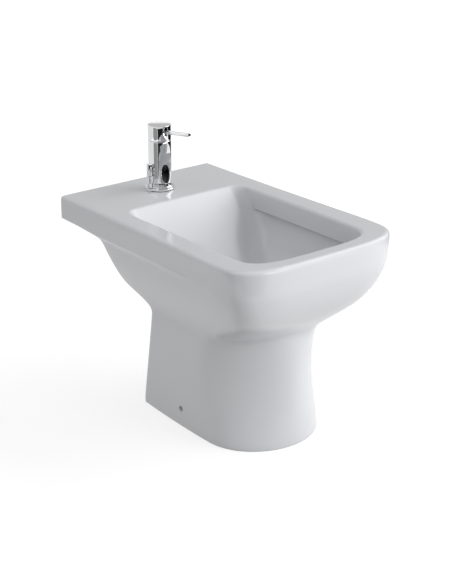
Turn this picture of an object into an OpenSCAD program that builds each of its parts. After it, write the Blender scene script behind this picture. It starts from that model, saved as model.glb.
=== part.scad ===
// Floor standing bidet with a one-hole mixer tap and a pop-up waste.
// Millimetres. +Z is up and the floor is z = 0. The wall side is +Y and the user comes from
// -Y. x = 0 is the plane of symmetry and y = 0 is half the overall depth.

/* [Ceramic body] */
// Height of the deck above the floor
body_h = 400; // [385:5:415]
// Overall depth from the wall side to the front edge
body_l = 576; // [556:4:596]
// Width over the widest part of the rim
body_w = 380; // [372:2:388]
// Width of the tap deck at the wall side
deck_w = 364; // [356:2:370]
// Width of the foot at the floor
foot_w = 238; // [230:2:250]
// Setback of the foot's nose from the front edge
nose_setback = 80; // [72:2:88]
// Distance from the wall side to the foot's rear edge at the floor
foot_gap = 163; // [155:1:170]
// Distance from the wall side to the rear edge at the waist
waist_gap = 197; // [190:1:203]
// Height of the waist, where the foot meets the underside of the bowl
waist_h = 211; // [204:1:218]
// Height of the tap deck's outer edge
deck_edge = 44; // [40:1:48]
// Thickness of the ceramic wall
wall = 11; // [9:0.5:12]
// Radius of the glazed outer edge of the deck
edge_r = 7; // [5:0.5:9]

/* [Bowl] */
// Width of the rim beside the bowl at its widest place
rim_side = 53; // [49:1:56]
// Width of the rim in front of the bowl
rim_front = 34; // [31:1:38]
// Depth of the tap deck from the wall side to the bowl's rear edge
deck_d = 161; // [156:1:166]
// Height of the vertical band under the rim
band_h = 38; // [34:1:42]
// How far the bowl wall is set back under the band
undercut = 9; // [6:0.5:11]
// Depth of the bowl's bottom below the deck
bowl_depth = 142; // [136:1:148]
// Thickness of the ceramic round the waste hole
sump_t = 18; // [15:1:20]
// Distance from the wall side to the waste
waste_back = 348; // [344:1:352]

/* [Holes in the ceramic] */
// Distance from the wall side to the tap hole
tap_back = 83; // [78:1:88]
// Diameter of the tap hole
tap_hole_d = 35; // [34:0.5:36]
// Diameter of the hole for the lift rod
rod_hole_d = 9; // [8:0.5:10]
// Diameter of the waste hole
waste_hole_d = 46; // [45:0.5:47]
// Diameter of the floor fixing hole in each side of the foot
side_hole_d = 12; // [10:0.5:14]
// Height of the floor fixing holes
side_hole_h = 37; // [32:1:42]
// Distance from the wall side to the floor fixing holes
side_hole_back = 300; // [292:1:308]

/* [Tap] */
// Diameter of the tap's column
tap_d = 45; // [44:0.5:46]
// Height of the column above the deck
tap_h = 98; // [96:1:104]
// Height of the turning cap
cap_h = 30; // [29:0.5:32]
// Gap between the column and the turning cap
cap_gap = 1; // [0.6:0.1:1.5]
// Wall thickness of the turning cap
cap_wall = 2.2; // [2:0.1:2.6]
// Diameter of the base ring on the deck
base_d = 58; // [56:0.5:61]
// Height of the base ring
base_h = 8; // [7:0.5:9]
// Diameter of the pin lever
lever_d = 7; // [6:0.25:7.5]
// Reach of the pin lever from the tap's axis
lever_reach = 97; // [85:1:110]
// Rise of the pin lever above level when the tap is shut
lever_rise = 8; // [6:1:10]
// Depth of the scoop in the front of the column
scoop_depth = 5; // [4:0.25:5.5]
// Diameter of the outlet pocket in the scoop
pocket_d = 19; // [18:0.5:20]
// Diameter of the swivelling spray ball
ball_d = 16; // [15:0.5:17]

/* [Lift rod] */
// Distance of the lift rod from the tap's axis
rod_offset = 29; // [28.8:0.1:30]
// Gap left between sliding or turning parts that only clear each other
free_gap = 0.4; // [0.3:0.05:0.6]
// Diameter of the lift rod
rod_d = 4; // [3.5:0.25:4.5]
// Diameter of the lift knob
knob_d = 11.5; // [10.5:0.25:11.5]
// Length of the lift knob
knob_l = 26; // [22:1:30]
// Height of the lowered knob above the deck
knob_low = 29; // [26:1:34]
// Travel of the lift knob
knob_travel = 35; // [30:1:36]

/* [Pop-up waste] */
// Diameter of the waste body where it passes the ceramic
waste_d = 42; // [41:0.5:43]
// Diameter of the plug cap
plug_d = 36; // [34:0.5:37]
// Length of the pivot rod from its ball to the link
pivot_arm = 130; // [124:1:136]
// Distance from the pivot rod's ball to the plug stem
plug_arm = 27; // [26:0.5:29]
// Diameter of the pivot rod
pivot_d = 5; // [4.5:0.25:5.5]
// Diameter of the tail pipe
tail_d = 32; // [31:0.5:33]
// Length of the tail pipe below the waste body
tail_l = 72; // [60:2:90]

/* [Hidden] */
$fn = 64;

ceramic_c = "white";
chrome_c = "lightsteelblue";
brass_c = "goldenrod";
rubber_c = "dimgray";
plastic_c = "gainsboro";

// ------------------------------------------------------------ main places
rear_y = body_l / 2;
front_y = -body_l / 2;
tap_y = rear_y - tap_back;
waste_y = rear_y - waste_back;
side_hole_y = rear_y - side_hole_back;
sump_z = body_h - bowl_depth;
sump_under_z = sump_z - sump_t;
edge_z = body_h - deck_edge;
deck_t = wall + 3;

// ------------------------------------------------------------ ceramic body
// Smooth step from 0 to 1 as t goes from 0 to 1.
function ease(t) = let (c = min(1, max(0, t))) c * c * (3 - 2 * c);
// Swelling curve from 0 to 1: a slow start by a, a round finish by b.
function swell(t, a, b) = 1 - pow(1 - pow(min(1, max(0, t)), a), b);
function mix(a, b, t) = a + (b - a) * t;
// Part of the way that v is from a to b.
function part_way(v, a, b) = (v - a) / (b - a);

side_low = waist_h - 9;   // where the sides begin to swell
nose_low = waist_h + 14;  // where the front begins to swell
neck_low = waist_h + 60;  // where the neck at the back is nearly upright
neck_high = edge_z - 15;  // and where it turns out under the deck
neck_low_gap = 129;       // from the wall side to the neck, low and high
neck_high_gap = 125;
foot_taper = 10;          // how much narrower the foot is at the rear, each side
rear_corner_r = 9;
foot_edge = 2;
mouth_edge_r = 6;
nose_d_floor = 108;       // depth of the rounded nose at the floor
nose_d_stem = 146;        // up the stem
nose_d_bowl = 85;         // at the bowl
nose_d_rim = 103;         // and at the rim
stem_low = 110;           // height where the stem's nose is fully deep
stem_high = waist_h - 53; // height where it starts to turn into the bowl's nose
bowl_low = waist_h + 64;  // height where the bowl's nose is reached
bowl_high = body_h - 100; // height where the nose opens out towards the rim
corner_low = waist_h - 1; // heights between which the nose turns from oval to square
corner_high = waist_h + 70;

// Half width at the widest place, and at the rear, at height z.
function half_w(z) =
    mix(foot_w, body_w, swell(part_way(z, side_low, body_h), 1.5, 2.35)) / 2;
function half_rear(z) =
    mix(half_w(z) - mix(foot_taper, (body_w - deck_w) / 2, ease(z / body_h)), deck_w / 2,
        ease(part_way(z, neck_high, edge_z)));
// Foremost point at height z.
function nose_y(z) = front_y
    + nose_setback * (1 - swell(part_way(z, nose_low, body_h), 1.2, 3.45));
// Distance from the wall side to the rear edge at height z, below the deck's edge.
function rear_gap(z) =
    z < waist_h ? mix(foot_gap, waist_gap, z / waist_h)
    : z < neck_low ? mix(waist_gap, neck_low_gap,
        swell(part_way(z, waist_h, neck_low), 1.68, 3.3))
    : z < neck_high ? mix(neck_low_gap, neck_high_gap, part_way(z, neck_low, neck_high))
    : z < edge_z ? neck_high_gap * sqrt(1 - pow(part_way(z, neck_high, edge_z), 2))
    : 0;
// The nose of each level: how deep it is, and how square, from oval at the foot.
function nose_depth(z) = mix(mix(nose_d_floor, nose_d_stem, ease(z / stem_low)),
    mix(nose_d_bowl, nose_d_rim, ease(part_way(z, bowl_high, body_h))),
    ease(part_way(z, stem_high, bowl_low)));
function squareness(z) = mix(mix(2, 1.8, ease(z / stem_low)),
    mix(4.2, 3.9, ease(part_way(z, bowl_high, body_h))),
    ease(part_way(z, corner_low, corner_high)));

// Right half of one level, from the rear middle round to the front middle. w is the half
// width at the widest place and wr at the rear, bend says how the side runs between them,
// yr and yf are the rear and front, depth and sq shape the nose, cr is the rear corner.
function half_ring(z, w, wr, bend, yr, yf, depth, sq, cr) =
    let (yc = yf + depth)
    concat(
        [for (i = [0 : 2]) [(wr - cr) * i / 3, yr, z]],
        [for (i = [0 : 4]) [wr - cr + cr * sin(22.5 * i), yr - cr + cr * cos(22.5 * i), z]],
        [for (i = [1 : 5]) let (s = 1 - i / 6)
            [mix(w, wr, bend * s + (1 - bend) * s * s), mix(yc, yr - cr, s), z]],
        [for (i = [0 : 9])
            [w * pow(cos(10 * i), 2 / sq), yc - depth * pow(sin(10 * i), 2 / sq), z]]);
function whole_ring(half) =
    concat(half, [for (i = [len(half) - 2 : -1 : 1]) [-half[i][0], half[i][1], half[i][2]]]);

// One level of the outer skin at height z, drawn in by inset.
function outer_ring(z, inset = 0) =
    whole_ring(half_ring(z, half_w(z) - inset, half_rear(z) - inset, 2 * ease(z / body_h),
        rear_y - rear_gap(z) - inset, nose_y(z) + inset, nose_depth(z) - inset,
        squareness(z), max(1, rear_corner_r - inset)));
foot_levels = [4, 60, 115, 160, waist_h - 14, waist_h, waist_h + 14, waist_h + 24, waist_h + 34,
    waist_h + 46, neck_low, neck_low + 20, neck_low + 45, neck_high];
slab_levels = [for (i = [1 : 4]) neck_high + (edge_z - neck_high) * sin(22.5 * i)];
edge_steps = [0 : 30 : 90];
outer_rings = concat(
    [outer_ring(0, foot_edge)],
    [for (z = foot_levels) outer_ring(z)],
    [for (z = slab_levels) outer_ring(z)],
    [outer_ring(edge_z + deck_edge * 0.4)],
    [for (a = edge_steps) outer_ring(body_h - edge_r * (1 - sin(a)), edge_r * (1 - cos(a)))]);
ring_n = len(outer_rings[0]);

// The bowl's mouth, its upright band, and the wall under it down to a round sump.
mouth_w = body_w / 2 - rim_side;
mouth_rear = rear_y - deck_d;
mouth_front = front_y + rim_front;
mouth_corner_r = 28;
mouth_nose = 70;
mouth_square = 3.6;
sump_r = 40;
band_z = body_h - band_h;
wall_top_z = band_z - 5;
wall_steps = 8;
// The bowl's rear is one ramp, tangent to the rounded mouth edge, that eases into the sump.
rear_slope = 0.85; // forwards for each millimetre down
ramp_top_z = body_h - mouth_edge_r * (1 - rear_slope / norm([1, rear_slope]));
function ramp(z) = mouth_edge_r * (1 - norm([1, rear_slope]))
    - rear_slope * (body_h - mouth_edge_r - z);
side_fall = 1.9;
rear_fall = (mouth_rear + ramp(wall_top_z) - waste_y - sump_r)
    / (rear_slope * (wall_top_z - sump_z));
function wall_fall(i) = mix(side_fall, rear_fall, max(0, cos(360 * i / ring_n)));
function mouth_ring(z, out, back) =
    whole_ring(half_ring(z, mouth_w + out, mouth_w + out, 1, mouth_rear + back,
        mouth_front - out, mouth_nose + out, mouth_square, mouth_corner_r + out));
// The wall's point i at t, from 0 at the band to 1 at the sump, moved out by grow and down
// by drop on the way.
function wall_point(t, i, grow = 0, drop = 0) =
    let (rim = mouth_ring(0, undercut + grow, grow + ramp(wall_top_z))[i],
        a = 360 * i / ring_n, r = sump_r + grow, shrink = pow(t, 1.7))
    [mix(rim[0], r * sin(a), shrink),
        mix(rim[1], waste_y + r * cos(a), cos(a) > 0 ? t : shrink),
        mix(wall_top_z, sump_z, 1 - pow(1 - t, wall_fall(i))) - drop * t];
function wall_ring(t) = [for (i = [0 : ring_n - 1]) wall_point(t, i)];
bowl_rings = concat(
    [for (a = [90 : -30 : 0])
        let (o = mouth_edge_r * (1 - cos(a)), z = body_h - mouth_edge_r * (1 - sin(a)))
        mouth_ring(z, o, z > ramp_top_z ? o : ramp(z))],
    [mouth_ring(band_z, -1, ramp(band_z))],
    [for (i = [0 : wall_steps]) wall_ring(i / wall_steps)]);

// The hollow under the bowl. Its roof is high at the rear straight, where the deck's own
// hollow joins it, and lower round the bowl, whose wall runs into the outer one.
roof_high = neck_high + 4;
roof_drop = 114; // from the deck's top to the lowest of the roof
roof_low = body_h - roof_drop;
function roof(i) = mix(roof_high, roof_low, ease(part_way(min(i, ring_n - i), 3, 8)));
// Where along the bowl's wall, from 0 to 1, height z lies at point i.
function wall_part(z, i) =
    1 - pow(1 - max(0, (wall_top_z - z) / (wall_top_z - sump_z)), 1 / wall_fall(i));
function inner_point(z, i) =
    let (s = outer_ring(z, wall)[i], below = outer_ring(max(0, z - wall - 1), wall)[i])
    [s[0], s[1] > 0 ? min(s[1], below[1]) : s[1], z];
inner_top = roof_low - 14;
inner_levels = [for (z = concat(0, foot_levels)) if (z < inner_top) z];
inner_rings = concat(
    [for (z = concat(inner_levels, inner_top)) [for (i = [0 : ring_n - 1]) inner_point(z, i)]],
    [for (t = [0.5, 1]) [for (i = [0 : ring_n - 1])
        inner_point(mix(inner_top, roof(i), t), i)]]);
under_rings = [for (k = [wall_steps : -1 : 0]) [for (i = [0 : ring_n - 1])
    wall_point(mix(wall_part(roof(i), i), 1, k / wall_steps), i, wall, sump_t)]];

// Closed skin through a list of rings, the first and the last filled flat.
module ring_solid(rings) {
    n = len(rings[0]);
    m = len(rings);
    points = [for (ring = rings) for (p = ring) p];
    sides = [for (j = [0 : m - 2]) for (i = [0 : n - 1])
        let (a = j * n + i, b = j * n + (i + 1) % n, c = a + n, d = b + n)
        each [[a, b, c], [b, d, c]]];
    first = [[for (i = [n - 1 : -1 : 0]) i]];
    last = [[for (i = [0 : n - 1]) (m - 1) * n + i]];
    polyhedron(points = points, faces = concat(sides, first, last), convexity = 10);
}

// Opening in the back of the foot and neck, and the one under the tap deck.
back_lip = 26;
under_lip = 7;
module back_opening() {
    open_w = foot_w - 2 * (foot_taper + back_lip);
    inside = wall + 6;
    levels = [0, waist_h, waist_h + 10, waist_h + 20, waist_h + 30, waist_h + 45,
        waist_h + 60, waist_h + 75, neck_high + 6];
    rotate([90, 0, 90]) translate([0, 0, -open_w / 2]) linear_extrude(open_w)
        polygon(concat([[rear_y + 1, -1], [rear_y - foot_gap - inside, -1]],
            [for (z = levels) [rear_y - inside
                - max(rear_gap(min(z, neck_high)), rear_gap(max(0, z - inside))), z]],
            [[rear_y + 1, neck_high + 6]]));
    deck_open_w = deck_w - 2 * (wall + under_lip);
    deck_open_y = rear_y - neck_high_gap - 2 * wall;
    translate([-deck_open_w / 2, deck_open_y, neck_high + 3])
        cube([deck_open_w, rear_y - wall - deck_open_y, body_h - deck_t - neck_high - 3]);
}

module bidet_body() {
    color(ceramic_c) difference() {
        ring_solid(concat(under_rings,
            [for (i = [len(inner_rings) - 1 : -1 : 0]) inner_rings[i]],
            outer_rings, bowl_rings));
        back_opening();
        at_tap() translate([0, 0, -2 * deck_t]) cylinder(d = tap_hole_d, h = 3 * deck_t);
        at_lift_rod() translate([0, 0, -2 * deck_t]) cylinder(d = rod_hole_d, h = 3 * deck_t);
        at_waste() translate([0, 0, -2 * sump_t]) cylinder(d = waste_hole_d, h = 3 * sump_t);
        translate([-foot_w, side_hole_y, side_hole_h]) rotate([0, 90, 0])
            cylinder(d = side_hole_d, h = 2 * foot_w);
    }
}

// ------------------------------------------------------------ tap
// Heights here are above the deck, at the tap's axis.
rod_angle = 190;
module at_tap() translate([0, tap_y, body_h]) children();
module at_lift_rod()
    translate([rod_offset * cos(rod_angle), tap_y + rod_offset * sin(rod_angle), body_h])
        children();
// Ring turned about the axis, from z0 to z1.
module ring(r_in, r_out, z0, z1)
    rotate_extrude() translate([r_in, z0]) square([r_out - r_in, z1 - z0]);

tap_r = tap_d / 2;
base_seal_t = 0.8;
foot_flare = 1.5;
shank_r = tap_hole_d / 2 - 1;
shank_low = -8;
inlet_r = 5;
inlet_depth = 14;
inlet_x = 7.5;
inlet_y = -4;
stud_r = 4;
stud_y = 9;
stud_low = -46;
fixing_r = 25;
fixing_seal_t = 3;
fixing_plate_t = 2.5;
fixing_nut_h = 12;
fixing_nut_af = 13;
bush_stem_r = 3;
bush_top_r = 4;
bush_top_h = 7;
ear_r = 6;

// Horseshoe washer under the deck, open towards the front for the supply hoses.
module horseshoe(z0, t) {
    slot_w = 2 * (inlet_x + inlet_r + 1);
    translate([0, 0, z0]) difference() {
        cylinder(r = fixing_r, h = t);
        translate([-slot_w / 2, -fixing_r - 1, -1]) cube([slot_w, fixing_r + 3, t + 2]);
        translate([0, stud_y, -1]) cylinder(r = stud_r + 0.3, h = t + 2);
    }
}
module tap_base_seal() {
    color(rubber_c) difference() {
        union() {
            at_tap() cylinder(r = base_d / 2 - 1, h = base_seal_t);
            at_lift_rod() cylinder(r = ear_r - 1, h = base_seal_t);
        }
        at_tap() translate([0, 0, -1]) cylinder(r = shank_r + 1, h = base_seal_t + 2);
        at_lift_rod() translate([0, 0, -1]) cylinder(r = bush_stem_r + 0.3, h = base_seal_t + 2);
    }
}
module tap_base_ring() {
    r = base_d / 2;
    color(chrome_c) difference() {
        union() {
            at_tap() rotate_extrude() polygon([[tap_r + 0.2, base_seal_t], [r - 0.6, base_seal_t],
                [r, base_seal_t + 0.6], [r, base_h * 0.5], [r - 0.8, base_h * 0.58],
                [r - 2.6, base_h * 0.62], [r - 2.6, base_h - 0.6], [r - 3.2, base_h],
                [tap_r + 0.2, base_h]]);
            at_lift_rod() translate([0, 0, base_seal_t])
                cylinder(r = ear_r, h = base_h - base_seal_t);
        }
        at_lift_rod() translate([0, 0, -1]) cylinder(r = bush_stem_r + 0.05, h = base_h + 2);
        at_tap() translate([0, 0, -1]) cylinder(r = tap_r + 0.2, h = base_h + 2);
    }
}

// The scoop is a shallow cylinder cut across the front; the pocket slants down in it.
scoop_low = 15;
scoop_high = 93;
scoop_mid = (scoop_low + scoop_high) / 2;
scoop_r = (pow(scoop_high - scoop_low, 2) / 4 + pow(scoop_depth, 2)) / (2 * scoop_depth);
pocket_z = 36;
pocket_slant = 38; // from upright
pocket_deep = 20;
ball_in = 11;
module at_scoop()
    at_tap() translate([-tap_d, -(tap_r - scoop_depth) - scoop_r, scoop_mid])
        rotate([0, 90, 0]) children();
module at_pocket()
    at_tap() translate([0, -(tap_r - scoop_depth), pocket_z])
        rotate([180 - pocket_slant, 0, 0]) children();
cartridge_r = 17.5;
cartridge_low = 62;
cartridge_shoulder = tap_h - 8;
nut_r = 19.3;
module tap_body() {
    color(chrome_c) difference() {
        at_tap() rotate_extrude() polygon([[0, shank_low], [shank_r, shank_low],
            [shank_r, base_seal_t], [tap_r, base_seal_t], [tap_r, base_h + 0.2],
            [tap_r + foot_flare, base_h + 0.2], [tap_r + foot_flare, base_h + 1.4],
            [tap_r + foot_flare * 0.4, base_h + 4], [tap_r, base_h + 8],
            [tap_r, tap_h - 0.8], [tap_r - 0.8, tap_h], [0, tap_h]]);
        at_tap() translate([0, 0, cartridge_low]) cylinder(r = cartridge_r + 0.2, h = tap_h);
        at_tap() translate([0, 0, cartridge_shoulder]) cylinder(r = nut_r + 0.1, h = tap_h);
        at_scoop() cylinder(r = scoop_r, h = 2 * tap_d, $fn = 180);
        at_pocket() translate([0, 0, -pocket_deep]) cylinder(d = pocket_d, h = 3 * pocket_deep);
        for (side = [-1, 1]) at_tap() translate([side * inlet_x, inlet_y, shank_low - 1])
            cylinder(r = inlet_r, h = inlet_depth + 1);
        at_tap() translate([0, stud_y, shank_low - 1]) cylinder(r = stud_r + 0.1, h = 14);
    }
}
module tap_fixing_stud() {
    color(brass_c) at_tap() translate([0, stud_y, stud_low])
        cylinder(r = stud_r, h = shank_low + 12 - stud_low);
}
module tap_fixing_seal() {
    color(rubber_c) at_tap() horseshoe(-deck_t - fixing_seal_t, fixing_seal_t);
}
module tap_fixing_plate() {
    color(brass_c) at_tap()
        horseshoe(-deck_t - fixing_seal_t - fixing_plate_t, fixing_plate_t);
}
module tap_fixing_nut() {
    color(brass_c) at_tap()
        translate([0, stud_y, -deck_t - fixing_seal_t - fixing_plate_t - fixing_nut_h])
        difference() {
            cylinder(d = fixing_nut_af / cos(30), h = fixing_nut_h, $fn = 6);
            translate([0, 0, -1]) cylinder(r = stud_r + 0.1, h = fixing_nut_h + 2);
        }
}

// Cartridge: the fixed housing, the ring nut over it, the collar that turns with the cap
// and the spindle that tilts on its pin.
neck_r = 12.7;
collar_r = 12.4;
collar_low = tap_h + 0.3;
collar_t = 3.7;
tilt_z = tap_h + 8;
ear_in = 4;
ear_out = 7.5;
ear_half = 4;
spindle_x = 7.4;
spindle_y = 8;
spindle_top = tap_h + 18;
pin_r = 1.5;
module cartridge_body() {
    color(plastic_c) at_tap() union() {
        translate([0, 0, cartridge_low])
            cylinder(r = cartridge_r, h = cartridge_shoulder - cartridge_low);
        translate([0, 0, cartridge_shoulder]) cylinder(r = neck_r, h = tap_h - cartridge_shoulder);
    }
}
module cartridge_nut() {
    color(brass_c) at_tap() ring(neck_r + 0.2, nut_r, cartridge_shoulder, tap_h - 1);
}
module cartridge_collar() {
    color(plastic_c) at_tap() difference() {
        union() {
            translate([0, 0, collar_low]) cylinder(r = collar_r, h = collar_t);
            for (x = [-ear_out, ear_in]) {
                translate([x, -ear_half, collar_low])
                    cube([ear_out - ear_in, 2 * ear_half, tilt_z - collar_low]);
                translate([x, 0, tilt_z]) rotate([0, 90, 0])
                    cylinder(r = ear_half, h = ear_out - ear_in);
            }
        }
        translate([-ear_out - 1, 0, tilt_z]) rotate([0, 90, 0])
            cylinder(r = pin_r + 0.02, h = 2 * ear_out + 2);
    }
}
module spindle_pin() {
    color("silver") at_tap() translate([-ear_out, 0, tilt_z]) rotate([0, 90, 0])
        cylinder(r = pin_r, h = 2 * ear_out);
}
module cartridge_spindle() {
    low = tilt_z - 2.6;
    color(brass_c) at_tap() difference() {
        translate([-spindle_x / 2, -spindle_y / 2, low])
            cube([spindle_x, spindle_y, spindle_top - low]);
        translate([-spindle_x, 0, tilt_z]) rotate([0, 90, 0])
            cylinder(r = pin_r + 0.06, h = 2 * spindle_x);
    }
}

// Turning cap with its slot, and the pin lever on its hub.
cap_low = tap_h + cap_gap;
cap_top = cap_low + cap_h;
cap_in_r = tap_r - cap_wall;
cap_roof = 1.6;
lever_z0 = tap_h + 16; // height of the lever's line at the tap's axis
lever_from = 5.2;
hub_r = 8.5;
hub_low = tilt_z + 4.4;
hub_top = cap_top - cap_roof - 5;
module at_lever() at_tap() translate([0, 0, lever_z0]) rotate([90 - lever_rise, 0, 0]) children();
module handle_cap() {
    slot_w = lever_d + 2 * free_gap;
    slot_low = lever_z0 + cap_in_r * tan(lever_rise) - lever_d / 2 / cos(lever_rise) - free_gap;
    slot_high = cap_top - cap_roof;
    color(chrome_c) at_tap() difference() {
        rotate_extrude() polygon([[cap_in_r, cap_low], [tap_r - 0.6, cap_low],
            [tap_r, cap_low + 0.6], [tap_r, cap_top - 1], [tap_r - 0.3, cap_top - 0.3],
            [tap_r - 1, cap_top], [0, cap_top], [0, cap_top - cap_roof],
            [cap_in_r, cap_top - cap_roof], [cap_in_r, cap_low + 4.5],
            [collar_r + 0.1, cap_low + 4.5], [collar_r + 0.1, cap_low + 1.5],
            [cap_in_r, cap_low + 1.5]]);
        translate([-slot_w / 2, -tap_d, slot_low + slot_w / 2])
            cube([slot_w, tap_d, slot_high - slot_low - slot_w / 2]);
        translate([0, 0, slot_low + slot_w / 2]) rotate([90, 0, 0])
            cylinder(d = slot_w, h = tap_d);
    }
}
module lever_hub() {
    color("silver") difference() {
        union() {
            at_tap() translate([0, 0, hub_low]) cylinder(r = hub_r, h = hub_top - hub_low);
            at_lever() translate([0, 0, lever_from - 0.8]) cylinder(d = lever_d + 3, h = 7);
        }
        at_tap() translate([-spindle_x / 2 - 0.1, -spindle_y / 2 - 0.1, tilt_z])
            cube([spindle_x + 0.2, spindle_y + 0.2, spindle_top + 0.1 - tilt_z]);
        at_lever() translate([0, 0, lever_from - 0.1]) cylinder(d = lever_d + 0.1, h = 20);
        at_tap() translate([0, 0, spindle_top - 3]) rotate([-90, 0, 0])
            cylinder(r = 2.05, h = 2 * hub_r);
    }
}
module lever_pin() {
    length = lever_reach / cos(lever_rise) - lever_from;
    color(chrome_c) at_lever() translate([0, 0, lever_from]) rotate_extrude()
        polygon([[0, 0], [lever_d / 2, 0], [lever_d / 2, length - 0.5],
            [lever_d / 2 - 0.5, length], [0, length]]);
}
module lever_screw() {
    color("silver") at_tap() translate([0, spindle_y / 2 + 0.1, spindle_top - 3])
        rotate([-90, 0, 0]) cylinder(r = 2, h = 3.6);
}

// Swivelling outlet: a seat ring in the pocket, the ball in it and the insert in the ball.
jet_slant = 35; // below level
ball_r = ball_d / 2;
seat_l = 7;
seat_bore_r = ball_r - 0.6;
insert_r = 4.4;
insert_l = 5;
module at_ball() at_pocket() translate([0, 0, -ball_in]) children();
module at_jet() at_ball() rotate([jet_slant + pocket_slant - 90, 0, 0]) children();
// The seat lines the pocket out to the scoop and ends just under it.
module spray_seat() {
    color("black") difference() {
        at_ball() difference() {
            ring(ball_r * 0.72, pocket_d / 2 - 0.05, -seat_l / 2, 2 * pocket_deep);
            sphere(r = ball_r + 0.06);
            translate([0, 0, seat_l / 2 - 0.6]) cylinder(r = seat_bore_r, h = 2 * pocket_deep);
        }
        at_scoop() cylinder(r = scoop_r + 0.2, h = 2 * tap_d, $fn = 180);
    }
}
module spray_ball() {
    color("black") difference() {
        at_ball() sphere(r = ball_r);
        at_jet() translate([0, 0, ball_r - insert_l]) cylinder(r = insert_r + 0.05, h = ball_d);
        at_jet() translate([0, 0, -2 * ball_r]) cylinder(r = 2.5, h = 4 * ball_r);
    }
}
module spray_insert() {
    color(rubber_c) at_jet() difference() {
        translate([0, 0, ball_r - insert_l]) cylinder(r = insert_r, h = insert_l - 0.8);
        for (a = [0 : 60 : 300]) rotate([0, 0, a]) translate([2.6, 0, 0])
            cylinder(r = 0.7, h = ball_d);
        cylinder(r = 0.9, h = ball_d);
    }
}

// ------------------------------------------------------------ lift rod and link
// The knob is modelled low, with the plug up. rod_low is the rod's end under the deck.
rod_r = rod_d / 2;
upper_clamp_z = -66;
upper_clamp_h = 14;
rod_low = upper_clamp_z - upper_clamp_h / 2 - 3;
clamp_w = 12;
pitch = rod_r + rod_r + 1; // between the two rods in one clamp
screw_r = 1.75;
module lift_rod_bush() {
    color(plastic_c) at_lift_rod() difference() {
        union() {
            translate([0, 0, -deck_t]) cylinder(r = bush_stem_r, h = deck_t + base_h);
            translate([0, 0, base_h]) cylinder(r = bush_top_r, h = bush_top_h);
        }
        translate([0, 0, -deck_t - 1])
            cylinder(r = rod_r + 0.08, h = deck_t + base_h + bush_top_h + 2);
    }
}
module lift_knob() {
    r = knob_d / 2;
    color(chrome_c) at_lift_rod() translate([0, 0, knob_low]) rotate_extrude()
        polygon([[rod_r + 0.05, 0], [r - 0.5, 0], [r, 0.5], [r, 2.5], [r - 1.1, 3], [r - 1.1, 4],
            [r, 4.5], [r, knob_l - 1], [r - 0.3, knob_l - 0.3], [r - 1, knob_l], [0, knob_l],
            [0, knob_l / 2], [rod_r + 0.05, knob_l / 2]]);
}
module lift_rod() {
    color(chrome_c) at_lift_rod() translate([0, 0, rod_low])
        cylinder(r = rod_r, h = knob_low + knob_l / 2 - rod_low);
}

rod_x = rod_offset * cos(rod_angle);
rod_y = tap_y + rod_offset * sin(rod_angle);
link_x = rod_x / 2;
bend_r = rod_r + 0.4;
pivot_drop = 52; // from the bottom of the bowl to the pivot
pivot_z = sump_z - pivot_drop;
pivot_y = waste_y + plug_arm;
rest_tilt = asin(knob_travel / 2 / pivot_arm);
eye_up = 6.5; // the link's eye above the pivot rod
eye_r = rod_r + 1.3;
link_top = [link_x, rod_y + pitch, body_h + upper_clamp_z];
link_low = [link_x, pivot_y + pivot_arm * cos(rest_tilt) + eye_up * sin(rest_tilt) - 0.6,
    pivot_z - pivot_arm * sin(rest_tilt) + eye_up * cos(rest_tilt)];
module rod_between(a, b, r) {
    v = b - a;
    translate(a) rotate([0, acos(v[2] / norm(v)), atan2(v[1], v[0])])
        cylinder(r = r, h = norm(v));
}
module upper_clamp() {
    color("silver") difference() {
        translate([rod_x - clamp_w / 2, rod_y - clamp_w / 2 + 1,
            body_h + upper_clamp_z - upper_clamp_h / 2])
            cube([clamp_w, clamp_w + pitch - 2, upper_clamp_h]);
        translate([rod_x, rod_y, 0]) cylinder(r = rod_r + 0.05, h = body_h);
        translate([rod_x - clamp_w, link_top[1], link_top[2]]) rotate([0, 90, 0])
            cylinder(r = rod_r + 0.05, h = 2 * clamp_w);
        translate([rod_x, rod_y - clamp_w, body_h + upper_clamp_z + 3.5]) rotate([-90, 0, 0])
            cylinder(r = screw_r + 0.05, h = clamp_w);
        translate([rod_x, link_top[1], link_top[2]]) rotate([-90, 0, 0])
            cylinder(r = screw_r + 0.05, h = clamp_w);
    }
}
module thumb_screw(l) {
    cylinder(r = screw_r, h = l);
    translate([0, 0, l]) cylinder(r = screw_r + 2, h = 3);
}
module upper_clamp_screws() {
    reach = clamp_w / 2 - 1 - rod_r + 0.2;
    color("silver") {
        translate([rod_x, rod_y - rod_r - 0.1, body_h + upper_clamp_z + 3.5])
            rotate([90, 0, 0]) thumb_screw(reach);
        translate([rod_x, link_top[1] + rod_r + 0.1, link_top[2]]) rotate([-90, 0, 0])
            thumb_screw(reach);
    }
}
module link_rod() {
    color("silver") {
        rod_between([rod_x - clamp_w / 2 - 2, link_top[1], link_top[2]], link_top, rod_r);
        translate(link_top) sphere(r = bend_r);
        rod_between(link_top, link_low, rod_r);
        translate(link_low) sphere(r = bend_r);
        rod_between(link_low, [clamp_w / 2 + 3, link_low[1], link_low[2]], rod_r);
    }
}

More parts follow.
